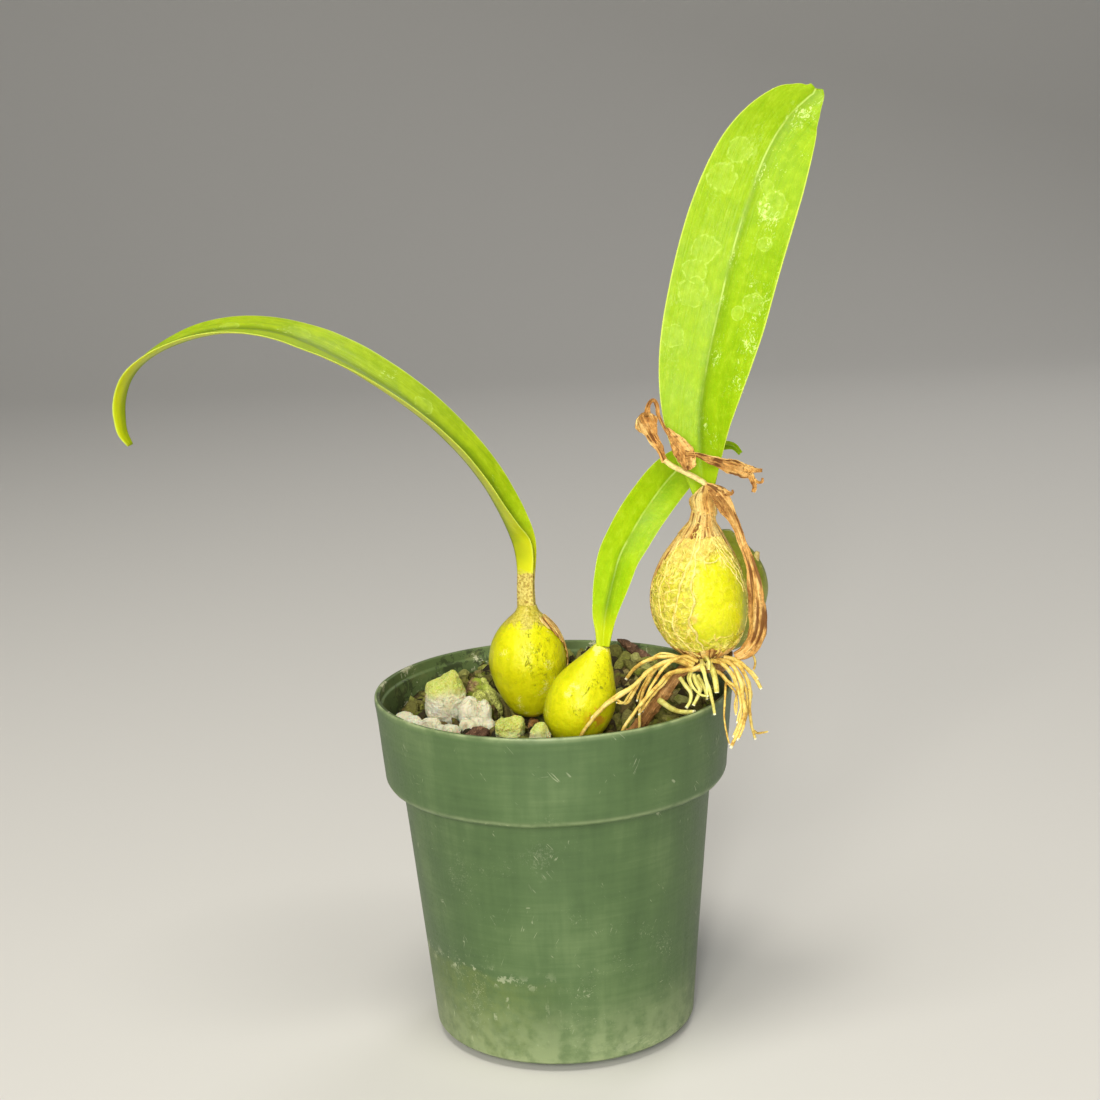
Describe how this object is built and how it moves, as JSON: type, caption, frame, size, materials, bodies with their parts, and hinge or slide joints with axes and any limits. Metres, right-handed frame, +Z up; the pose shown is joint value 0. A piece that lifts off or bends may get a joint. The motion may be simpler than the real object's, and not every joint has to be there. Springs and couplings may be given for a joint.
{
  "type": "potted bulbophyllum cupreum",
  "caption": "Small orchid with round pseudobulbs, strap leaves, creeping rhizome and hanging roots, growing in bark and pumice in a round green nursery pot.",
  "frame": {"origin": "centre of the pot's foot on the ground", "axes": "+Z up, the viewer looks along +Y, and the tall leaf stands at +X"},
  "size_m": [0.1695, 0.09, 0.2329],
  "materials": {
    "pot": "satin",
    "potting_mix": "matte",
    "pumice": "matte",
    "bark": "matte",
    "pseudobulb": "gloss",
    "leaf": "satin",
    "rhizome": "matte",
    "root": "satin",
    "dry_sheath": "matte",
    "dry_flower": "matte"
  },
  "bodies": {
    "root": {"pot": "pot", "potting_mix": "potting_mix", "pumice_large": "pumice", "pumice_lobed": "pumice", "pumice_green": "pumice", "pumice_pale": "pumice", "granule_1": "pumice", "granule_2": "pumice", "granule_3": "pumice", "granule_4": "pumice", "bark_left": "bark", "bark_mossy": "bark", "bark_front": "bark", "bark_back": "bark", "bark_stick": "bark", "pseudobulb_left": "pseudobulb", "pseudobulb_front": "pseudobulb", "pseudobulb_raised": "pseudobulb", "pseudobulb_back": "pseudobulb", "leaf_left": "leaf", "leaf_front": "leaf", "leaf_raised": "leaf", "rhizome": "rhizome", "roots_left": "root", "roots_middle": "root", "roots_right": "root", "dry_sheath": "dry_sheath", "dry_flower_stalk": "dry_flower", "dry_bract": "dry_flower"}
  },
  "joints": []
}
